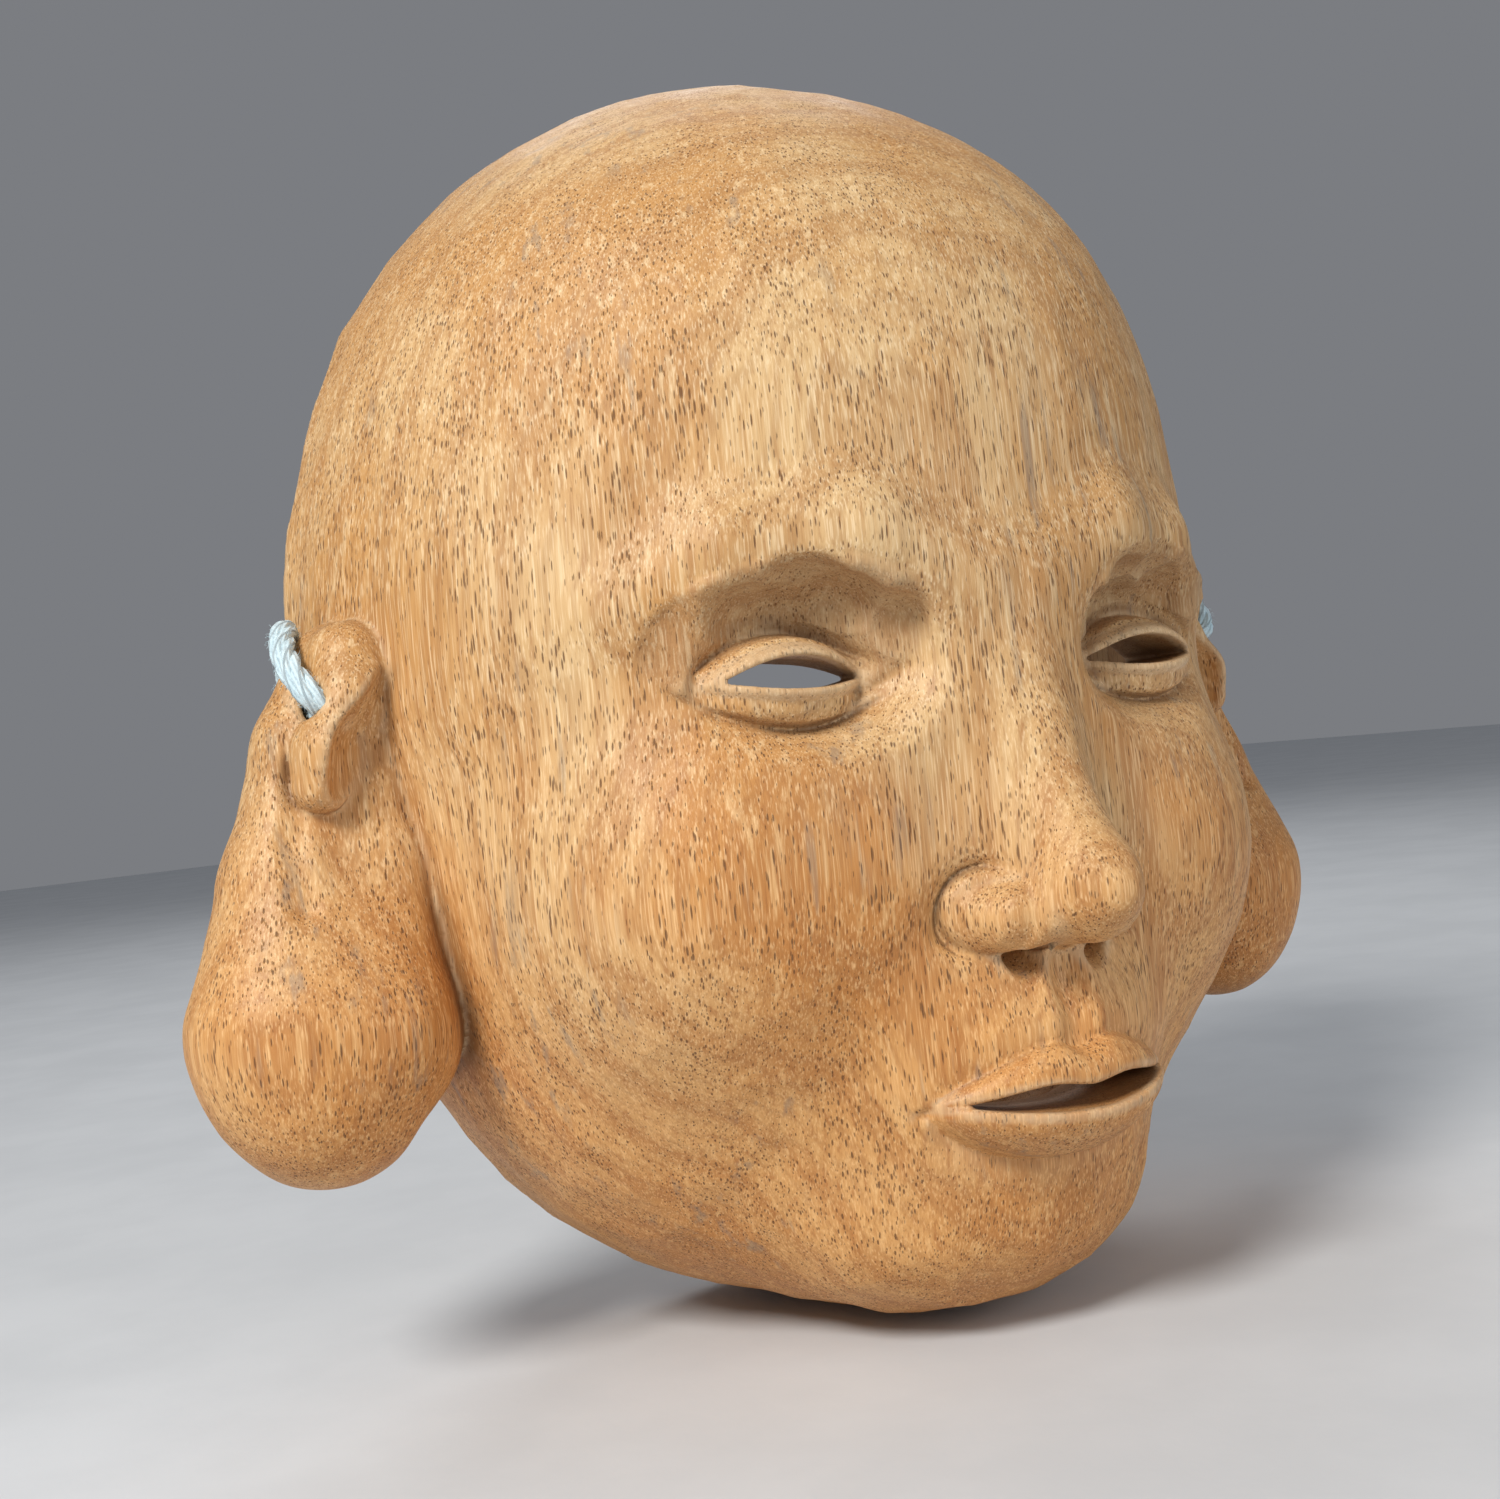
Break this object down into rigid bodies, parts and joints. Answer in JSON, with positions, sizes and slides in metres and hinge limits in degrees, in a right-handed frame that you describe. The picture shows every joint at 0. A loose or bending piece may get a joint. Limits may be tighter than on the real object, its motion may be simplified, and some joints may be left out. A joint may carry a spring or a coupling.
{
  "type": "carved wooden mask",
  "caption": "Hollow wooden face mask carved from one block, with pierced eyes, nostrils and mouth, long ears and a cord tied through the ears to hang or wear it by.",
  "frame": {"origin": "middle of the opening in the back of the mask, in the plane of its flat rim", "axes": "+Z towards the crown, +Y out of the back towards the wearer, so the face looks along -Y; +X towards the mask's own left ear"},
  "size_m": [0.248, 0.1097, 0.2303],
  "materials": {
    "carved_wood": "satin oiled, tool-marked",
    "cord": "twisted matt cord"
  },
  "bodies": {
    "mask": {"mask_shell": "carved_wood", "cord_loop_right": "cord", "cord_knot_right": "cord", "cord_tail_right": "cord", "cord_lead_right": "cord", "cord_loop_left": "cord", "cord_knot_left": "cord", "cord_tail_left": "cord", "cord_lead_left": "cord"},
    "hanging_cord": {"cord_span": "cord"}
  },
  "joints": [
    {"name": "cord_swing", "type": "hinge", "parent": "mask", "child": "hanging_cord", "pos_m": [0, -0.0033, -0.007], "axis": [1, 0, 0], "range_deg": [-60, 165]}
  ]
}
